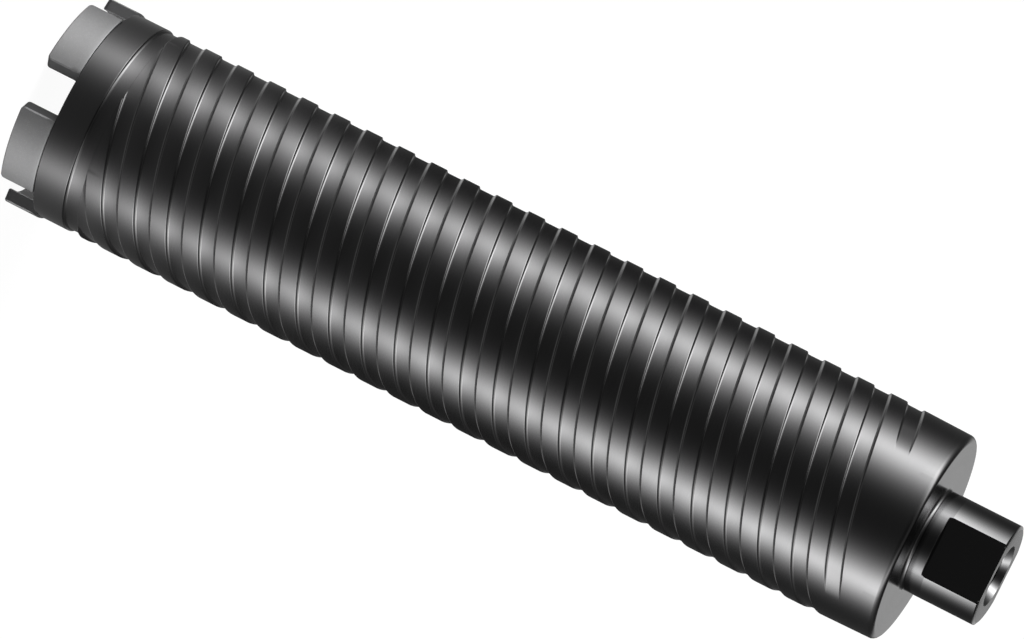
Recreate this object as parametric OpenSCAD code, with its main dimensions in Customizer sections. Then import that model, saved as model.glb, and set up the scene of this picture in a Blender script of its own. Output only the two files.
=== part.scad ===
/* [Barrel] */
// Outer diameter of the barrel over the spiral lands
barrel_d = 62.5; // [50:0.5:90]
// Wall thickness of the barrel tube
barrel_wall = 2.5; // [2:0.1:5]
// Length of the barrel tube from its crown rim to the hub's flange
tube_len = 257.9; // [160:0.1:400]
// Width of the plain collar next to the segments
collar_w = 9.7; // [5:0.1:20]
// How far the collar is turned below the lands
collar_cut = 0.1; // [0.05:0.05:0.4]
// Width of the relief groove that the spiral runs out into
relief_w = 4.2; // [2:0.1:8]
// Depth of the relief groove below the lands
relief_depth = 0.8; // [0.75:0.05:1]
// Length of the slight taper at the hub's end, flange included
end_taper_len = 23.1; // [12:0.1:40]
// Loss of radius over that taper
end_taper_drop = 0.44; // [0.1:0.02:0.6]

/* [Spiral] */
// Number of spiral grooves side by side
starts = 4; // [2:1:6]
// Advance of one groove in a full turn
lead = 41.06; // [36:0.02:60]
// Width of a groove along the barrel
groove_w = 4.73; // [3:0.01:5.5]
// Depth of a groove below the lands
groove_depth = 0.65; // [0.3:0.05:0.65]
// Distance from the end of the grooves to the end of the tube
plain_end = 7.6; // [5:0.1:20]
// Direction in which one of the grooves ends
groove_end_turn = 55; // [0:1:90]
// Turn over which a groove comes up to the surface where it ends
run_out = 12; // [8:1:40]

/* [Crown] */
// Number of cutting segments
segments = 5; // [3:1:5]
// Length of a segment across its outer face
segment_len = 24.3; // [16:0.1:26]
// Height of a segment above the rim of the tube
segment_h = 10.3; // [6:0.1:15]
// How far a segment stands proud of the lands outside
proud_out = 0.5; // [0.2:0.05:1]
// How far a segment stands proud of the tube's bore inside
proud_in = 0.5; // [0.2:0.05:1]
// Radius of a segment's corners at its tip
tip_corner_r = 1.2; // [0.4:0.1:3]
// Direction of the middle of the first segment
segment_turn = 33; // [0:1:72]

/* [Hub] */
// Thickness of the flange that closes the barrel
flange_t = 5.3; // [3:0.1:10]
// Rounding of the flange's outer edge
flange_round = 1.5; // [0.5:0.1:2.5]
// Depth of the spigot inside the tube
spigot_len = 5; // [3:0.1:15]
// Radial clearance of the spigot in the tube
spigot_gap = 0.05; // [0.02:0.01:0.2]
// Chamfer round the free edge of the spigot
spigot_chamfer = 0.8; // [0.2:0.1:1.5]
// Diameter of the hub
hub_d = 30; // [26:0.1:34]
// Length of the hub beyond the flange
hub_len = 22.5; // [16:0.1:40]
// Fillet at the foot of the hub
hub_fillet = 0.8; // [0.3:0.1:2]
// Chamfer round the hub's end
hub_chamfer = 0.6; // [0.2:0.1:1]
// Distance across the two spanner flats
flats_across = 24; // [22:0.1:25]
// Length of the spanner flats, back from the hub's end
flats_len = 17.4; // [8:0.1:20]
// Direction that the first flat faces
flats_turn = 2.2; // [0:0.1:90]

/* [Thread] */
// Nominal diameter of the 5/8 inch female thread
thread_d = 15.875; // [12:0.005:18]
// Pitch of the thread, 11 to the inch
thread_pitch = 2.309; // [1:0.001:3]
// Diameter of the countersunk mouth of the thread
mouth_d = 18.2; // [16:0.1:21]
// Full angle of that countersink
mouth_angle = 60; // [60:5:120]

/* [Hidden] */
function segment_name(index) = str("segment_", index);

// Radii of the barrel
barrel_r = barrel_d / 2;
bore_r = barrel_r - barrel_wall;
floor_r = barrel_r - groove_depth;
relief_r = barrel_r - relief_depth;
collar_r = barrel_r - collar_cut;

// Stations along the axis, from the plane that the segments' tips stand on
rim_z = segment_h;
relief_z = rim_z + collar_w;
spiral_z = relief_z + relief_w;
tube_end_z = rim_z + tube_len;
flange_z = tube_end_z + flange_t;
hub_end_z = flange_z + hub_len;
taper_z = flange_z - end_taper_len;
groove_end_z = tube_end_z - plain_end;

// Radius of the finished outside at a height, lands and plain end alike
function skin_r(z) = barrel_r - end_taper_drop * max(0, z - taper_z) / end_taper_len;

// Spiral: the grooves are one pitch apart along the barrel, and step is the angle of a facet
pitch = lead / starts;
step = 7.5;
groove_turn = 360 * groove_w / lead;
land_turn = 360 / starts - groove_turn;
groove_steps = max(2, round(groove_turn / step));
land_steps = max(2, round(land_turn / step));

// Angles of the facets' edges, counted from where a groove's upper edge starts at spiral_z. Each
// groove edge meets that plane on a facet's edge, so the grooves open cleanly into the relief.
turns = [for (s = [0 : starts - 1])
    each concat(
        [for (i = [0 : groove_steps - 1]) s * 360 / starts + i * groove_turn / groove_steps],
        [for (i = [0 : land_steps - 1]) s * 360 / starts + groove_turn + i * land_turn / land_steps])];
stations = len(turns);

// Height of a groove's upper edge at a station. After a full turn groove q continues as q + starts.
function upper_z(j, q) = spiral_z + turns[j % stations] * lead / 360
    + (q + starts * floor(j / stations)) * pitch;

// Direction of the first station, so that one groove's middle reaches groove_end_z at groove_end_turn
start_turn = groove_end_turn - (groove_end_z + groove_w / 2 - spiral_z) * 360 / lead;

// Depth of a groove at a station: full, then rising to nothing over the run-out at its end
function depth_at(j, q) = let (left = groove_end_z + groove_w / 2 - upper_z(j, q))
    groove_depth * max(0, min(1, left / (lead * run_out / 360)));

// Four corners cross a groove: 0 and 1 are its lower edge, outside and floor, 2 and 3 its upper edge,
// floor and outside
function corner_z(j, q, k) = upper_z(j, q) - (k < 2 ? groove_w : 0);
function corner_r(j, q, k) = skin_r(corner_z(j, q, k)) - (k == 1 || k == 2 ? depth_at(j, q) : 0);

// A station's points: on the lower plane outside and floor, on the end plane, then each groove's corners
last_q = ceil((tube_end_z - spiral_z + groove_w) / pitch);
low_q = 1 - starts;
groove_count = last_q - low_q + 1;
per_station = 3 + 4 * groove_count;
near = 0.001;

function at(r, turn, z) = [r * sin(turn), -r * cos(turn), z];
skin_points = concat(
    [for (j = [0 : stations - 1]) let (a = start_turn + turns[j])
        each concat(
            [at(barrel_r, a, spiral_z), at(floor_r, a, spiral_z), at(skin_r(tube_end_z), a, tube_end_z)],
            [for (q = [low_q : last_q], k = [0 : 3]) at(corner_r(j, q, k), a, corner_z(j, q, k))])],
    [[0, 0, spiral_z], [0, 0, tube_end_z]]);
low_centre = stations * per_station;
end_centre = low_centre + 1;

// Number of the point where a corner lies. A corner past either plane moves to that plane, and
// where the groove has no depth the floor's corner is the one outside.
function rim(j, k) = (j % stations) * per_station + k;
function below(j, q, k) = corner_z(j, q, k) < spiral_z + near;
function beyond(j, q, k) = corner_z(j, q, k) > tube_end_z - near;
function corner(j, q, k) =
    below(j, q, k) ? rim(j, k == 1 || k == 2 ? 1 : 0)
    : beyond(j, q, k) ? rim(j, 2)
    : let (row = q + starts * floor(j / stations) - low_q, flat = depth_at(j, q) < near)
        (j % stations) * per_station + 3 + 4 * row + (flat && k == 1 ? 0 : flat && k == 2 ? 3 : k);

// Two triangles between stations j and j + 1, without those that have closed up to a line
function strip(a, b, c, d) = [for (f = [[a, b, c], [a, c, d]])
    if (f[0] != f[1] && f[1] != f[2] && f[2] != f[0]) f];
function band(j, q, k, p, m) =
    strip(corner(j, q, k), corner(j, p, m), corner(j + 1, p, m), corner(j + 1, q, k));
function flank(j, q, k) = below(j, q, k) && below(j + 1, q, k) ? [] : band(j, q, k, q, k + 1);
// A facet column stands in a groove at the lower plane if it is among a groove's own steps
function in_groove(j) = (j % (groove_steps + land_steps)) < groove_steps;

skin_faces = [for (j = [0 : stations - 1]) each concat(
    [for (q = [low_q - 1 : last_q]) each concat(
        flank(j, q, 0), band(j, q, 1, q, 2), flank(j, q, 2), band(j, q, 3, q + 1, 0))],
    in_groove(j) ? [] : strip(rim(j, 1), rim(j, 0), rim(j + 1, 0), rim(j + 1, 1)),
    [[low_centre, rim(j, 1), rim(j + 1, 1)], [end_centre, rim(j + 1, 2), rim(j, 2)]])];

// Points of an arc about a centre in a turned profile
arc_steps = 6;
function arc(cx, cy, r, from, to) = [for (i = [0 : arc_steps])
    let (a = from + (to - from) * i / arc_steps) [cx + r * cos(a), cy + r * sin(a)]];

// Hub: thread bore at its minor diameter, and the profile that is turned
thread_bore_r = (thread_d - 1.0825 * thread_pitch) / 2;
hub_r = hub_d / 2;
mouth_r = mouth_d / 2;
mouth_depth = (mouth_r - thread_bore_r) / tan(mouth_angle / 2);
spigot_r = bore_r - spigot_gap;
spigot_z = tube_end_z - spigot_len;
flange_edge_r = skin_r(flange_z - flange_round);
hub_profile = concat(
    [[thread_bore_r, spigot_z], [spigot_r - spigot_chamfer, spigot_z],
        [spigot_r, spigot_z + spigot_chamfer], [spigot_r, tube_end_z], [skin_r(tube_end_z), tube_end_z]],
    arc(flange_edge_r - flange_round, flange_z - flange_round, flange_round, 0, 90),
    arc(hub_r + hub_fillet, flange_z + hub_fillet, hub_fillet, 270, 180),
    [[hub_r, hub_end_z - hub_chamfer], [hub_r - hub_chamfer, hub_end_z], [mouth_r, hub_end_z],
        [thread_bore_r, hub_end_z - mouth_depth]]);

// Crown: a segment covers the wall and stands proud of it on both sides
crown_r = barrel_r + proud_out;
crown_bore_r = bore_r - proud_in;
segment_outline = concat(
    [[-segment_len / 2, segment_h]],
    arc(-segment_len / 2 + tip_corner_r, tip_corner_r, tip_corner_r, 180, 270),
    arc(segment_len / 2 - tip_corner_r, tip_corner_r, tip_corner_r, 270, 360),
    [[segment_len / 2, segment_h]]);

past = 1;
$fn = 96;

// Steel tube with its plain collar, relief groove and spiral lands
module barrel_tube() {
    color("dimgray")
    difference() {
        union() {
            translate([0, 0, rim_z]) cylinder(r = collar_r, h = collar_w);
            // Floor of the relief groove, carried a little way up inside the lands
            translate([0, 0, rim_z + collar_w / 2])
                cylinder(r = relief_r, h = collar_w / 2 + relief_w + pitch / 4);
            polyhedron(skin_points, skin_faces);
        }
        translate([0, 0, rim_z - past]) cylinder(r = bore_r, h = tube_len + 2 * past);
    }
}

// One turned piece: flange, spigot, hub with its spanner flats, and the bore of its thread
module arbor_hub() {
    color("slategray")
    difference() {
        rotate_extrude() polygon(hub_profile);
        for (side = [0, 180]) rotate(flats_turn + side)
            translate([-hub_d, -hub_d - flats_across / 2, hub_end_z - flats_len])
                cube([2 * hub_d, hub_d, flats_len + past]);
    }
}

// Cutting segment: a piece of the crown ring with straight ends and rounded tip corners
module segment(index) {
    color("silver")
    rotate(segment_turn + (index - 1) * 360 / segments)
    intersection() {
        difference() {
            cylinder(r = crown_r, h = segment_h);
            translate([0, 0, -past]) cylinder(r = crown_bore_r, h = segment_h + 2 * past);
        }
        rotate([90, 0, 0]) linear_extrude(crown_r + past) polygon(segment_outline);
    }
}

barrel_tube();
arbor_hub();
for (i = [1 : segments])
    segment(i);
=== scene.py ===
import math
import bpy
import numpy as np
from mathutils import Matrix, Vector


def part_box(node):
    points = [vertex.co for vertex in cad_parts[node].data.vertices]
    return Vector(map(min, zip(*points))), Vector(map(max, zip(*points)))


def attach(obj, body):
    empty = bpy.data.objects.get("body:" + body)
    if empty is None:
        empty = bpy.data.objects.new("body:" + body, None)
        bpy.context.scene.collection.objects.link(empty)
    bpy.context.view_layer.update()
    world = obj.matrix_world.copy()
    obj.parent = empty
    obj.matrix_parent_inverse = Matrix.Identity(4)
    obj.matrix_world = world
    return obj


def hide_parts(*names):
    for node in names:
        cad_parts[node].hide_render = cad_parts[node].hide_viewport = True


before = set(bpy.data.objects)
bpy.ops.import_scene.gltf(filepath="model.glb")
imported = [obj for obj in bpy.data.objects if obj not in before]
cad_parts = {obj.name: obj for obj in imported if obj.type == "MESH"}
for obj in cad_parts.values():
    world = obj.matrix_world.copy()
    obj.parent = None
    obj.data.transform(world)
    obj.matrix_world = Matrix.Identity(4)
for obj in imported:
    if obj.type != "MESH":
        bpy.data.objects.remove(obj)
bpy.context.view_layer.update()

mm = 0.001
print("frame loaded:", len(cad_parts), "nodes")


# Camera

# The place and the point it looks at are millimetres in the part's frame; roll turns the picture so
# that the bit lies across it with its crown at the upper left.
photoView = {
    "place": (0.0, -2263.0, 619.3),
    "aim": (-2.5, 0.0, 143.4),
    "roll": 116.85,
    "lens": 295.68,
    "sensor": 36.0,
}


def placeCamera(view):
    data = bpy.data.cameras.new("photoCamera")
    data.lens = view["lens"]
    data.sensor_width = view["sensor"]
    camera = bpy.data.objects.new("photoCamera", data)
    bpy.context.scene.collection.objects.link(camera)
    place = Vector(view["place"]) * mm
    look = (Vector(view["aim"]) * mm - place).to_track_quat("-Z", "Y").to_matrix().to_4x4()
    roll = Matrix.Rotation(math.radians(view["roll"]), 4, "Z")
    camera.matrix_world = Matrix.Translation(place) @ look @ roll
    bpy.context.scene.camera = camera


placeCamera(photoView)
print("camera placed")


# Surfaces

# A profile's corners are (radius, height, rounding). Each rounded corner becomes an arc that touches
# both of its sides: the arc starts rounding * tan(half the turn) before the corner. The edge mark is
# 1 in the middle of an outside corner, -1 in an inside one and 0 on the flats. An arc has a point
# every stepAngle degrees or less.
def roundedProfile(corners, stepAngle=28.0):
    spots, marks = [], []
    for number, (radius, height, rounding) in enumerate(corners):
        here = np.array([radius, height])
        if rounding == 0 or number in (0, len(corners) - 1):
            spots.append(here[None])
            marks.append([0.0])
            continue
        before = np.array(corners[number - 1][:2]) - here
        after = np.array(corners[number + 1][:2]) - here
        before /= np.linalg.norm(before)
        after /= np.linalg.norm(after)
        half = math.acos(np.clip(before @ after, -1, 1)) / 2
        turn = math.pi - 2 * half
        side = np.sign(before[0] * after[1] - before[1] * after[0])
        centre = here + (before + after) / np.linalg.norm(before + after) * rounding / math.sin(half)
        x, y = here + before * rounding / math.tan(half) - centre
        steps = max(2, math.ceil(math.degrees(turn) / stepAngle))
        angle = -side * turn * np.arange(steps + 1) / steps
        c, s = np.cos(angle), np.sin(angle)
        spots.append(centre + np.stack([c * x - s * y, s * x + c * y], -1))
        marks.append([0.0] + [side] * (steps - 1) + [0.0])
    return np.concatenate(spots), np.concatenate(marks)


# Points at a radius, a direction (degrees from -Y towards +X) and a height: x = radius * sin(turn) and
# y = -radius * cos(turn)
def polar(radius, turn, height):
    radius, turn, height = np.broadcast_arrays(radius, np.radians(turn), height)
    return np.stack([radius * np.sin(turn), -radius * np.cos(turn), height], axis=-1)


# Points closer than this, in millimetres, become one
joinStep = 0.00001


# Sheets are grids of points, each with a mark per point. They are laid into one mesh, points that
# coincide become one, and cells that have closed up are left out. A sheet faces the side on which its
# columns run to the right while its rows run up. Edges that turn more than sharpAngle shade as sharp.
def addPiece(name, sheets, sharpAngle=40.0):
    allPoints, allMarks, allQuads, count = [], [], [], 0
    for points, marks in sheets:
        rows, columns = points.shape[:2]
        cell = count + np.arange(rows - 1)[:, None] * columns + np.arange(columns - 1)
        allQuads.append(np.stack([cell, cell + 1, cell + columns + 1, cell + columns], -1).reshape(-1, 4))
        allPoints.append(points.reshape(-1, 3))
        allMarks.append(np.broadcast_to(marks, (rows, columns)).reshape(-1))
        count += rows * columns
    points, marks, quads = np.concatenate(allPoints), np.concatenate(allMarks), np.concatenate(allQuads)
    keys = np.round(points / joinStep).astype(np.int64)
    _, first, where = np.unique(keys, axis=0, return_index=True, return_inverse=True)
    quads = where.reshape(-1)[quads]
    kept = quads != np.roll(quads, 1, axis=1)
    corners = kept.sum(axis=1)
    faces = quads[corners == 4].tolist() + quads[corners == 3][kept[corners == 3]].reshape(-1, 3).tolist()
    mesh = bpy.data.meshes.new(name)
    mesh.from_pydata(points[first] * mm, [], faces)
    mesh.attributes.new("edgeMark", "FLOAT", "POINT").data.foreach_set("value", marks[first])
    mesh.shade_smooth()
    mesh.set_sharp_from_angle(angle=math.radians(sharpAngle))
    piece = bpy.data.objects.new(name, mesh)
    bpy.context.scene.collection.objects.link(piece)
    even = piece.modifiers.new("evenShading", "WEIGHTED_NORMAL")
    even.mode = "FACE_AREA"
    even.weight = 100
    even.keep_sharp = True
    print("piece", name, len(mesh.vertices), "points", len(faces), "faces")
    return piece


# Sizes that the frame gives, in millimetres
tubeLow, tubeHigh = (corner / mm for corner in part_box("barrel_tube"))
hubLow, hubHigh = (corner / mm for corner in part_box("arbor_hub"))
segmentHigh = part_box("segment_1")[1] / mm


# Barrel

barrel = {
    "landR": 31.25,          # radius over the spiral lands
    "boreR": 28.75,
    "rimZ": tubeLow.z,
    "endZ": tubeHigh.z,
    "taperZ": 250.4,         # the outside tapers from here to the flange face
    "taperEndZ": 273.5,
    "taperDrop": 0.44,
    "collarR": 31.15,
    "collarEndZ": 19.8,
    "reliefR": 30.45,
    "wallRun": 0.12,         # half of how far the wall between collar and relief leans
    "collarRound": 0.2,
    "footRound": 0.8,
    "reliefEndZ": 24.2,
    "stepGap": 0.001,        # the turned profile ends this far below the step up to the lands
    "starts": 4,
    "lead": 41.06,
    "grooveWidth": 4.86,     # at half its depth
    "grooveDepth": 0.65,
    "grooveEndZ": 260.98,    # where a groove's middle stops
    "grooveEndTurn": 56.8,   # direction in which one groove stops
    "runOut": 20.0,          # turn over which its floor comes up
    "lastTrace": 0.07,       # share of the depth that is left off at its end
    "outerRound": 0.35,
    "innerRound": 0.65,
    "flankAngle": 60.0,
    "flatBeside": 1.0,       # length of land at either end of a groove's section
    "edgeBreak": 0.1,
    "rimBreak": 0.12,
    "columns": 225,
}


# Radius of the finished outside at a height: the lands' radius, less slope * height above taperZ
def skinRadius(height):
    b = barrel
    slope = b["taperDrop"] / (b["taperEndZ"] - b["taperZ"])
    return b["landR"] - slope * np.maximum(0, height - b["taperZ"])


# Section of one groove across the spiral: place along the axis from the groove's middle, share of the
# full depth, and edge mark. Each side is an outside arc, a steep flank and an inside arc. The profile's
# ends and middle only give the arcs their directions, and are left out.
def grooveSection(b):
    slope = math.radians(b["flankAngle"])
    run = (b["grooveDepth"] / math.tan(slope)) / 2
    middle = b["grooveWidth"] / 2
    corners = [
        (-middle - b["flatBeside"], 0.0, 0.0),
        (-middle - run, 0.0, b["outerRound"]),
        (-middle + run, -b["grooveDepth"], b["innerRound"]),
        (0.0, -b["grooveDepth"], 0.0),
        (middle - run, -b["grooveDepth"], b["innerRound"]),
        (middle + run, 0.0, b["outerRound"]),
        (middle + b["flatBeside"], 0.0, 0.0),
    ]
    spots, marks = roundedProfile(corners)
    keep = np.ones(len(spots), bool)
    keep[[0, len(spots) // 2, -1]] = False
    return spots[keep, 0], -spots[keep, 1] / b["grooveDepth"], -marks[keep]


# The spiral skin: row by row the grid follows the grooves, height = row's place + lead * turn / 360,
# and is cut off level at both ends. Where a groove runs out, the cutter is lifted smoothly, by a
# share 1 - down * down * (3 - 2 * down) of the depth, with down going from 0 to 1 below the groove's
# end; the last trace of the cut is left off. Radius = skin radius - depth * (section's share - lift),
# where that is a cut. The edge marks fade as the cube of what the lift leaves.
def spiralSkin(b, turns, lowZ, highZ):
    place, share, mark = grooveSection(b)
    pitch = b["lead"] / b["starts"]
    phase = b["grooveEndZ"] - b["lead"] * b["grooveEndTurn"] / 360
    firstGroove = math.floor((lowZ - phase - b["lead"]) / pitch) - 1
    lastGroove = math.ceil((highZ - phase) / pitch) + 1
    middles = phase + pitch * np.arange(firstGroove, lastGroove + 1)
    rows = (middles[:, None] + place).reshape(-1)
    rise = b["lead"] * turns / 360
    free = rows[:, None] + rise
    height = np.clip(free, lowZ, highZ)
    away = (height - rise - phase + pitch / 2) % pitch - pitch / 2
    left = b["grooveEndZ"] - (height - away)
    down = np.clip(left / (b["lead"] * b["runOut"] / 360), 0, 1)
    lifted = np.minimum(1, (1 - down * down * (3 - 2 * down)) / (1 - b["lastTrace"]))
    cut = b["grooveDepth"] * np.maximum(0, np.interp(away, place, share) - lifted)
    radius = skinRadius(height) - cut
    marks = np.tile(mark, len(middles))[:, None] * (1 - lifted) ** 3 * (free == height)
    return polar(radius, turns, height), marks, radius[0]


# Barrel: the spiral skin, a profile turned round the axis from the bore by the rim and the collar to the
# relief groove, the step from there up to the lands, and the level end under the hub's flange
def makeBarrel(b):
    turns = np.linspace(0, 360, b["columns"] + 1)
    reliefTop = b["reliefEndZ"] + b["edgeBreak"]
    skin, skinMarks, reliefEdge = spiralSkin(b, turns, reliefTop, b["endZ"])
    lathe, marks = roundedProfile([
        (b["boreR"], b["endZ"], 0),
        (b["boreR"], b["rimZ"], b["rimBreak"]),
        (b["collarR"], b["rimZ"], b["rimBreak"]),
        (b["collarR"], b["collarEndZ"] - b["wallRun"], b["collarRound"]),
        (b["reliefR"], b["collarEndZ"] + b["wallRun"], b["footRound"]),
        (b["reliefR"], b["reliefEndZ"] - b["stepGap"], 0),
    ])
    turned = polar(lathe[:, :1], turns, lathe[:, 1:])
    step = np.stack([
        turned[-1],
        polar(reliefEdge - b["edgeBreak"], turns, b["reliefEndZ"]),
        polar(reliefEdge, turns, reliefTop),
    ])
    end = np.stack([polar(skinRadius(b["endZ"]), turns, b["endZ"]), polar(b["boreR"], turns, b["endZ"])])
    return addPiece("barrelTube", [(skin, skinMarks), (turned, marks[:, None]), (step, 0.0), (end, 0.0)])


barrelPiece = makeBarrel(barrel)
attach(barrelPiece, "root")
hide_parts("barrel_tube")


# Hub

hub = {
    "spigotZ": hubLow.z,
    "spigotR": 28.7,
    "spigotChamfer": 0.8,
    "seamZ": tubeHigh.z,
    "faceZ": barrel["taperEndZ"],
    "endZ": hubHigh.z,
    "flangeRound": 1.75,
    "neckR": 15.0,
    "footRound": 0.8,
    "footScore": 0.24,       # width of the fine line scored just above the foot's fillet
    "scoreGap": 0.15,
    "chamfer": 0.45,         # down the side
    "chamferIn": 0.9,        # across the end
    "flatsAcross": 24.0,
    "flatsLength": 17.4,
    "flatsTurn": 2.2,
    "flatCorner": 1.0,       # rounding left by the cutter in the flats' inner corners
    "plainBelowFlats": 2.0,  # the neck's lathe profile ends this far below the flats
    "edgeBreak": 0.12,
    "mouthR": 9.1,
    "mouthSlope": 0.577,     # the countersink's loss of radius per depth, 30 degrees from the axis
    "backMouthR": 8.4,
    "threadPitch": 2.309,
    "threadR": 6.688,        # at the crests
    "threadHeight": 1.25,
    "threadSteps": 16,
    "columns": 144,
    "flatColumns": (-4, -2.8, -1.6, -0.8, 0, 0.5, 1.4),     # extra ones, degrees from a flat's end
    "columnGap": 0.4,        # no even column is closer to them than this
    "latheStep": 15.0,
    "sharpAngle": 33.0,
}


# Height in the thread's section: crests a quarter of the pitch wide, roots an eighth, flanks between
def threadHeight(h, place):
    pitch = h["threadPitch"]
    away = np.abs((place + pitch / 2) % pitch - pitch / 2)
    return h["threadHeight"] * np.clip((away - pitch / 8) / (pitch * 5 / 16), 0, 1)


# The thread's skin, with rows that follow it as the spiral skin's follow the grooves: radius = crest
# radius + height of the section, or the cone of either mouth if wider
def threadSkin(h, turns):
    pitch = h["threadPitch"]
    rise = pitch * turns / 360
    rows = np.arange(h["endZ"] + pitch, h["spigotZ"] - 2 * pitch, -pitch / h["threadSteps"])
    height = np.clip(rows[:, None] + rise, h["spigotZ"], h["endZ"])
    radius = h["threadR"] + threadHeight(h, height - rise - h["endZ"])
    radius = np.maximum(radius, h["mouthR"] - h["mouthSlope"] * (h["endZ"] - height))
    radius = np.maximum(radius, h["backMouthR"] - (height - h["spigotZ"]))
    return polar(radius, turns, height)


# Hub: a profile turned round the axis from the bore's lower mouth to the neck, two flats cut in the
# neck, and the thread. On a flat, radius = half the distance across flats / cos(turn from its middle).
def makeHub(h):
    # Columns are even round the hub, with closer ones where the flats end. A flat reaches flatReach
    # degrees to either side of its middle.
    flatReach = math.degrees(math.acos(h["flatsAcross"] / 2 / h["neckR"]))
    near = flatReach + np.array(h["flatColumns"])
    ends = [side + sign * near for side in (0, 180) for sign in (-1, 1)]
    special = h["flatsTurn"] + np.concatenate(ends)
    even = np.linspace(0, 360, h["columns"] + 1)
    far = np.abs(even[:, None] - special % 360).min(axis=1) > h["columnGap"]
    far[[0, -1]] = True
    turns = np.unique(np.concatenate([even[far], special % 360]))
    fromFlat = (turns - h["flatsTurn"] + 90) % 180 - 90
    onFlat = np.radians(np.clip(fromFlat, -flatReach, flatReach))
    cutR = h["flatsAcross"] / 2 / np.cos(onFlat)
    scoreZ = h["faceZ"] + h["footRound"] + h["scoreGap"]
    lathe, marks = roundedProfile([
        (h["backMouthR"], h["spigotZ"], 0),
        (h["spigotR"] - h["spigotChamfer"], h["spigotZ"], 0),
        (h["spigotR"], h["spigotZ"] + h["spigotChamfer"], 0),
        (h["spigotR"], h["seamZ"], 0),
        (float(skinRadius(h["seamZ"])), h["seamZ"], 0),
        (float(skinRadius(h["faceZ"])), h["faceZ"], h["flangeRound"]),
        (h["neckR"], h["faceZ"], h["footRound"]),
        (h["neckR"], scoreZ, 0),
        (h["neckR"] - h["footScore"] / 2, scoreZ + h["footScore"] / 2, 0),
        (h["neckR"], scoreZ + h["footScore"], 0),
        (h["neckR"], h["endZ"] - h["flatsLength"] - h["plainBelowFlats"], 0),
    ], h["latheStep"])
    turned = polar(lathe[:, :1], turns, lathe[:, 1:])
    # Where a flat begins: level across its middle and curving up into the corners
    half = math.sqrt(h["neckR"] ** 2 - (h["flatsAcross"] / 2) ** 2)
    lateral = np.abs(h["flatsAcross"] / 2 * np.tan(onFlat))
    intoCorner = np.clip(lateral - (half - h["flatCorner"]), 0, h["flatCorner"])
    cornerRise = h["flatCorner"] - np.sqrt(h["flatCorner"] ** 2 - intoCorner ** 2)
    startZ = h["endZ"] - h["flatsLength"] + cornerRise
    flats = np.stack([
        turned[-1],
        polar(h["neckR"], turns, startZ - h["edgeBreak"]),
        polar(np.maximum(cutR, h["neckR"] - h["edgeBreak"]), turns, startZ),
        polar(cutR, turns, startZ),
        polar(cutR, turns, h["endZ"] - h["chamfer"]),
        polar(np.minimum(cutR, h["neckR"] - h["chamferIn"]), turns, h["endZ"]),
        polar(h["mouthR"], turns, h["endZ"]),
    ])
    edges = np.array([0, 0, 1, 0, 0, 0, 0])[:, None]
    sheets = [(turned, marks[:, None]), (flats, edges), (threadSkin(h, turns), 0.0)]
    return addPiece("arborHub", sheets, h["sharpAngle"])


hubPiece = makeHub(hub)
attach(hubPiece, "root")
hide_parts("arbor_hub")


# Segments

segment = {
    "count": 5,
    "firstTurn": 33.0,
    "outerR": 31.75,
    "innerR": 28.25,
    "length": 24.3,
    "height": segmentHigh.z,
    "tipCorner": 1.2,
    "edgeBreak": 0.3,
    "baseBevel": 0.35,       # height and depth of the slight bevel along the joint with the tube
    "baseDrop": 0.08,
    "across": 25,            # points across, up the sides and round a tip corner
    "up": 8,
    "round": 6,
    "jointMark": 0.3,        # edge mark along the joint with the tube, too weak to bring the walls' painted shade onto it
    "sharpAngle": 33.0,
}


# One segment: two curved faces whose outline is a rectangle with round tip corners, joined all round
# by a wall with broken edges. Depth at x on a cylinder of radius r is sqrt(r * r - x * x).
def makeSegment(p, number):
    # The outline moved in by inset, as a grid of x and height: a row reaches length / 2 - inset to either
    # side, less corner * (1 - sin(bend)) round the tip corners
    def outline(inset):
        corner = p["tipCorner"] - inset
        bend = np.radians(np.linspace(0, 90, p["round"]))
        top = p["height"] - (p["baseBevel"] if inset else 0)
        sides = np.linspace(p["tipCorner"], top, p["up"])[1:]
        heights = np.concatenate([p["tipCorner"] - corner * np.cos(bend), sides])
        reach = np.concatenate([np.sin(bend), np.ones(len(sides))]) * corner
        reach = p["length"] / 2 - p["tipCorner"] + reach
        return reach[:, None] * np.linspace(-1, 1, p["across"]), heights[:, None] * np.ones(p["across"])

    def placed(x, z, radius):
        turn = math.radians(p["firstTurn"] + number * 360 / p["count"])
        y = -np.sqrt(radius * radius - x * x)
        c, s = math.cos(turn), math.sin(turn)
        return np.stack([x * c - y * s, x * s + y * c, z], -1)

    # Points round an outline, from its tip's left end along the tip, up the right side and back
    def loop(grid):
        return np.concatenate([grid[0], grid[1:, -1], grid[-1, -2::-1], grid[-2::-1, 0]])

    broken = p["edgeBreak"]
    outer = placed(*outline(broken), p["outerR"])
    inner = placed(*outline(broken), p["innerR"])
    x, z = outline(0)
    atBase = z == p["height"]
    drop = np.where(atBase, p["baseDrop"], broken)
    wall = np.stack([
        loop(inner),
        loop(placed(x, z, p["innerR"] + drop)),
        loop(placed(x, z, p["outerR"] - drop)),
        loop(outer),
    ])
    # The wall is marked as an edge, which brings a painted shade onto it, but not where it meets the tube
    joint = loop(atBase) & (np.abs(loop(x)) < p["length"] / 2 - joinStep)
    edges = np.where(joint, p["jointMark"], np.array([0, 1, 1, 0])[:, None])
    sheets = [(outer, 0.0), (inner[:, ::-1], 0.0), (wall, edges)]
    return addPiece(f"segment{number + 1}", sheets, p["sharpAngle"])


segmentPieces = []
for number in range(segment["count"]):
    piece = makeSegment(segment, number)
    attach(piece, "root")
    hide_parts(f"segment_{number + 1}")
    segmentPieces.append(piece)


# Materials

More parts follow.
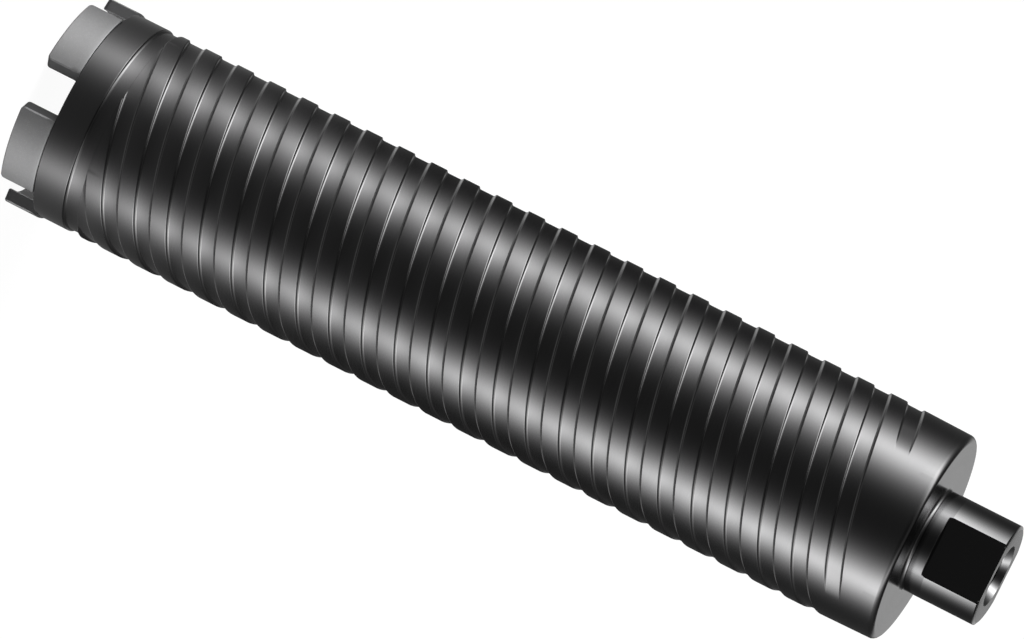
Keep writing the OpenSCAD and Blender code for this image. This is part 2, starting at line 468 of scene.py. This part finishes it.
# A number on a node's output. Arithmetic on it adds Math nodes, on either side of the sign.
class Wire:
    def __init__(self, nodes, socket):
        self.nodes, self.socket = nodes, socket

    def math(self, operation, *others):
        return self.nodes.add("Math", {"operation": operation}, dict(enumerate((self, *others))))

    def __add__(self, other):
        return self.math("ADD", other)

    def __sub__(self, other):
        return self.math("SUBTRACT", other)

    def __rsub__(self, other):
        return self.math("MULTIPLY_ADD", -1.0, other)

    def __mul__(self, other):
        return self.math("MULTIPLY", other)

    def __truediv__(self, other):
        return self.math("DIVIDE", other)

    def __neg__(self):
        return self.math("MULTIPLY", -1.0)

    __radd__, __rmul__ = __add__, __mul__


class Nodes:
    def __init__(self, owner):
        owner.use_nodes = True
        self.tree = owner.node_tree
        self.tree.nodes.clear()

    # Adds a node: its settings first, then its sockets, by name or number, as values or wires. What comes
    # back is a wire from one of its outputs, by name or number too.
    def add(self, kind, settings=None, sockets=None, output=0):
        node = self.tree.nodes.new("ShaderNode" + kind)
        for key, value in (settings or {}).items():
            if key == "stops":
                self.setStops(node.color_ramp, value)
            else:
                setattr(node, key, value)
        for key, value in (sockets or {}).items():
            if isinstance(value, Wire):
                self.tree.links.new(value.socket, node.inputs[key])
            else:
                node.inputs[key].default_value = value
        return Wire(self, node.outputs[output]) if node.outputs else None

    # Other outputs of the node that a wire comes from
    def outputs(self, wire, *names):
        return [Wire(self, wire.socket.node.outputs[name]) for name in names]

    # A ramp's stops are (place, brightness)
    def setStops(self, ramp, stops):
        while len(ramp.elements) < len(stops):
            ramp.elements.new(1.0)
        for element, (place, value) in zip(ramp.elements, stops):
            element.position = place
            element.color = (value, value, value, 1.0)

    # The Mix node has its colours in sockets 6 and 7 and their blend in output 2
    def blend(self, share, first, second):
        return self.add("Mix", {"data_type": "RGBA"}, {0: share, 6: first, 7: second}, 2)


steelLook = {
    "colour": (0.11, 0.11, 0.111, 1.0),
    "warmColour": (0.103, 0.102, 0.103, 1.0),
    "wornColour": (0.16, 0.16, 0.16, 1.0),
    "roughness": 0.2,
    "roughSpread": 0.03,
    "driftScale": 45.0,
    "feedScale": 2600.0,     # turning marks to the metre of height
    "ringScale": 1100.0,     # and of radius
    "roundScale": 25.0,      # how often they change to the metre across the axis
    "turning": 0.0000004,    # their height in metres
    "wornShare": 0.5,        # how far an edge takes the worn colour
    "neckColour": (0.082, 0.082, 0.083, 1.0),
    "neckRoughness": 0.07,   # how much smoother the neck is
    "facedRoughness": 0.07,  # what the sawn and faced end adds
    "facedMarks": 16.0,      # how much deeper its marks are
    "boreColour": (0.24, 0.24, 0.242, 1.0),
}


# Blackened turned steel: dark metal, slow drifts of tone, marks that follow height and radius and so run
# round the axis on walls and in rings on faces, and brighter where an outside edge has been rubbed.
# Within neckR the surface is darker and smoother, above facedZ lies a duller face, and within boreR the
# metal was cut bright after the blackening.
def steelMaterial(name, look, neckR, facedZ, boreR):
    material = bpy.data.materials.new(name)
    nodes = Nodes(material)
    place = nodes.add("TexCoord", output="Object")
    x, y, z = nodes.outputs(nodes.add("SeparateXYZ", {}, {"Vector": place}), "X", "Y", "Z")
    faced = z.math("GREATER_THAN", facedZ)
    radius = (x * x + y * y).math("SQRT")
    feed = z * look["feedScale"] + radius * look["ringScale"]
    acrossX, acrossY = x * look["roundScale"], y * look["roundScale"]
    around = nodes.add("CombineXYZ", {}, {"X": acrossX, "Y": acrossY, "Z": feed})
    drift = nodes.add("TexNoise", {}, {"Vector": place, "Scale": look["driftScale"], "Detail": 3.0})
    marks = nodes.add("TexNoise", {}, {"Vector": around, "Scale": 1.0, "Detail": 2.0})
    edge = nodes.add("Attribute", {"attribute_name": "edgeMark"}, output="Fac")
    worn = edge.math("MAXIMUM", 0.0)
    base = nodes.blend(drift, look["colour"], look["warmColour"])
    neck = radius.math("LESS_THAN", neckR) * (1 - faced)
    base = nodes.blend(neck, base, look["neckColour"])
    base = nodes.blend(radius.math("LESS_THAN", boreR), base, look["boreColour"])
    colour = nodes.blend(worn * look["wornShare"], base, look["wornColour"])
    rough = look["roughness"] + look["roughSpread"] * (drift + marks - 1.0)
    rough = rough + look["facedRoughness"] * faced - look["neckRoughness"] * neck
    height = marks * (1.0 + look["facedMarks"] * faced)
    bump = nodes.add("Bump", {}, {"Height": height, "Distance": look["turning"], "Strength": 1.0})
    shader = nodes.add("BsdfPrincipled", {}, {
        "Base Color": colour, "Metallic": 1.0, "Roughness": rough, "Normal": bump})
    nodes.add("OutputMaterial", {}, {"Surface": shader})
    return material


matrixLook = {
    "colour": (0.26, 0.26, 0.262, 1.0),
    "darkColour": (0.205, 0.205, 0.207, 1.0),
    "gritColour": (0.36, 0.36, 0.355, 1.0),
    # painted shade for the walls round the faces
    "paintedWallShade": (0.08, 0.08, 0.081, 1.0),
    "roughness": 0.56,
    "roughSpread": 0.1,
    "mottleScale": 900.0,
    "gritScale": 2600.0,
    "gritShare": 0.4,        # how far a grain takes the grit's colour
    "gritStops": [(0.12, 1.0), (0.3, 0.0)],      # over the distance from a grain's middle
    "paintedWallShadeStops": [(0.85, 0.0), (0.97, 1.0)],     # painted shade of the walls, over the edge mark
    "bumpHeight": 0.00002,
    "bumpStrength": 0.5,
}


# Sintered matrix: matte metal, mottled, with sparse diamond grit that stands a little proud, and with
# painted shade on the walls round its faces
def matrixMaterial(look):
    material = bpy.data.materials.new("segmentMatrix")
    nodes = Nodes(material)
    place = nodes.add("TexCoord", output="Object")
    mottle = nodes.add("TexNoise", {}, {"Vector": place, "Scale": look["mottleScale"], "Detail": 4.0})
    grain = nodes.add("TexVoronoi", {}, {"Vector": place, "Scale": look["gritScale"]})
    grit = nodes.add("ValToRGB", {"stops": look["gritStops"]}, {"Fac": grain})
    base = nodes.blend(mottle, look["darkColour"], look["colour"])
    edge = nodes.add("Attribute", {"attribute_name": "edgeMark"}, output="Fac")
    # Painted shade: the walls take the dark colour where the edge mark is high
    side = nodes.add("ValToRGB", {"stops": look["paintedWallShadeStops"]}, {"Fac": edge})
    face = nodes.blend(grit * look["gritShare"], base, look["gritColour"])
    colour = nodes.blend(side, face, look["paintedWallShade"])
    rough = look["roughness"] + look["roughSpread"] * (mottle - 0.5)
    bump = nodes.add("Bump", {}, {
        "Height": grit + mottle, "Distance": look["bumpHeight"], "Strength": look["bumpStrength"]})
    shader = nodes.add("BsdfPrincipled", {}, {
        "Base Color": colour, "Metallic": 1.0, "Roughness": rough, "Normal": bump})
    nodes.add("OutputMaterial", {}, {"Surface": shader})
    return material


# The places where the steel changes lie this far beside the edges
margin = 0.02
places = ((hub["neckR"] + margin) * mm, (hub["endZ"] - margin) * mm, (hub["mouthR"] - margin) * mm)
barrelSteel = steelMaterial("barrelSteel", steelLook, *places)
hubSteel = steelMaterial("hubSteel", steelLook, *places)
barrelPiece.data.materials.append(barrelSteel)
hubPiece.data.materials.append(hubSteel)
matrix = matrixMaterial(matrixLook)
for piece in segmentPieces:
    piece.data.materials.append(matrix)
print("materials made")


# Studio

# Directions are degrees round from the camera's side. Stops are (elevation, brightness).
studio = {
    "floorRings": (5.0, 2.5, 1.0, 0.2, 0.0),     # radii in metres
    "floorColumns": 96,
    "floorZ": -0.01,         # millimetres, just clear of the segments' tips
    "floorColour": (0.09, 0.09, 0.09, 1.0),
    "floorGlow": 0.955,
    "right": {
        "turn": 71.1, "spread": 11.8,
        "stops": [(-18, 0.0), (-15.5, 0.0), (-14, 0.27), (-12.5, 0.41), (-10.5, 0.53), (-9.5, 0.55),
            (-8.5, 0.54), (-5, 0.64), (2, 0.58), (14, 0.36), (27, 0.27), (40, 0.23), (55, 0.18),
            (75, 0.0)],
    },
    "left": {
        "turn": 69.4, "spread": 12.7,
        "stops": [(-18, 0.0), (-15.5, 0.0), (-14, 0.27), (-12.5, 0.385), (-10.5, 0.51), (-9.5, 0.54),
            (-8.5, 0.54), (-5, 0.64), (2, 0.68), (12, 0.66), (25, 0.6), (37, 0.5), (50, 0.36),
            (75, 0.0)],
    },
    "stripPower": 1.62,
    "stripStrength": 12.0,
    "glowTurn": 97.0,
    "glowSpread": 27.0,
    "glowStops": [(-90, 0.35), (-25, 0.38), (-18, 0.5), (-15.5, 0.4), (-14, 0.05), (-13, 0.0),
        (-10, 0.04), (8, 0.05), (30, 0.25), (50, 0.3), (70, 0.2), (85, 0.0)],
    "rightRear": 0.7,        # brightness of the rear's right half, as a share of the left's
    "frontStops": [(-90, 0.3), (-25, 0.27), (-17.5, 0.24), (-15.5, 0.16), (-14, 0.02), (-12, 0.0),
        (-9.5, 0.075), (-5, 0.08), (5, 0.06), (40, 0.03), (60, 0.05), (75, 0.12), (90, 0.15)],
    "rearStops": [(-90, 0.6), (-30, 0.6), (-22, 0.55), (-17.5, 0.45), (-15, 0.25), (-13, 0.02),
        (-10, 0.09), (-5, 0.1), (20, 0.08), (60, 0.05), (75, 0.12), (90, 0.15)],
    "rearTurns": (120.0, 170.0),         # where the rear fades in, and where its white backdrop does
    "backdropTurns": (154.0, 174.0),
    "backdropStops": [(0, 0.0), (4, 0.63), (14, 0.63), (24, 0.0)],
}


# Pale floor: lit softly, with a glow that only brings its picture up to white
def makeFloor(s):
    radius = np.array(s["floorRings"])[:, None] / mm
    sheet = polar(radius, np.linspace(0, 360, s["floorColumns"] + 1), s["floorZ"])
    floor = addPiece("studioFloor", [(sheet, 0.0)])
    material = bpy.data.materials.new("studioFloor")
    nodes = Nodes(material)
    path = nodes.add("LightPath")
    camera, glossy, clear = nodes.outputs(path, "Is Camera Ray", "Is Glossy Ray", "Is Transmission Ray")
    lit = nodes.add("BsdfDiffuse", {}, {"Color": s["floorColour"]})
    glow = nodes.add("Emission", {}, {"Color": (1, 1, 1, 1), "Strength": s["floorGlow"]})
    seen = nodes.add("MixShader", {}, {0: camera + glossy + clear, 2: glow})
    both = nodes.add("AddShader", {}, {0: lit, 1: seen})
    nodes.add("OutputMaterial", {}, {"Surface": both})
    floor.data.materials.append(material)
    floor.visible_glossy = False


# A ramp over elevation, in degrees: its position is 0.5 + elevation / 180
def elevationRamp(nodes, rise, stops):
    places = [(0.5 + angle / 180, value) for angle, value in stops]
    return nodes.add("ValToRGB", {"stops": places}, {"Fac": rise})


# A smooth step from 0 to 1 between two directions
def fadeIn(nodes, turn, turns):
    return nodes.add("MapRange", {"interpolation_type": "SMOOTHSTEP"}, {
        "Value": turn, "From Min": turns[0], "From Max": turns[1], "To Min": 0.0, "To Max": 1.0})


# A light that fades to both sides as exp(-0.5 * (distance / spread) ** power)
def sideLight(turn, middle, spread, power):
    off = ((turn - middle) / spread).math("ABSOLUTE").math("POWER", power)
    return (off * -0.5).math("EXPONENT")


# World as a dim studio: a tall strip light on either side, a soft glow beside them, a dark level part
# in front, a paler lower part where the floor would show, a white backdrop low behind, for faces that
# look up the axis, and white for the camera's own rays
def makeWorld(s):
    world = bpy.data.worlds.new("studioWorld")
    bpy.context.scene.world = world
    nodes = Nodes(world)
    way = nodes.add("TexCoord", output="Generated")
    x, y, z = nodes.outputs(nodes.add("SeparateXYZ", {}, {"Vector": way}), "X", "Y", "Z")
    turn = x.math("ABSOLUTE").math("ARCTAN2", -y) / math.radians(1)
    rise = z.math("ARCSINE") / math.radians(180) + 0.5
    left = x.math("LESS_THAN", 0.0)
    level = 0.0
    for share, strip in ((left, s["left"]), (1 - left, s["right"])):
        light = sideLight(turn, strip["turn"], strip["spread"], s["stripPower"]) * s["stripStrength"]
        level = level + share * light * elevationRamp(nodes, rise, strip["stops"])
    glow = sideLight(turn, s["glowTurn"], s["glowSpread"], 2.0)
    level = level + glow * elevationRamp(nodes, rise, s["glowStops"])
    behind = fadeIn(nodes, turn, s["rearTurns"])
    front = elevationRamp(nodes, rise, s["frontStops"])
    rear = elevationRamp(nodes, rise, s["rearStops"])
    level = level + front * (1 - behind) + rear * behind * (left * (1 - s["rightRear"]) + s["rightRear"])
    backdrop = fadeIn(nodes, turn, s["backdropTurns"]) * elevationRamp(nodes, rise, s["backdropStops"])
    path = nodes.add("LightPath")
    camera, glossy, clear = nodes.outputs(path, "Is Camera Ray", "Is Glossy Ray", "Is Transmission Ray")
    white = (camera + (glossy + clear) * backdrop).math("MINIMUM", 1.0)
    dim = nodes.add("Background", {}, {"Color": level, "Strength": 1.0})
    bright = nodes.add("Background", {}, {"Color": (1, 1, 1, 1), "Strength": 1.0})
    shader = nodes.add("MixShader", {}, {0: white, 1: dim, 2: bright})
    nodes.add("OutputWorld", {}, {"Surface": shader})


makeFloor(studio)
makeWorld(studio)
bpy.context.scene.view_settings.view_transform = "Standard"
print("studio made")
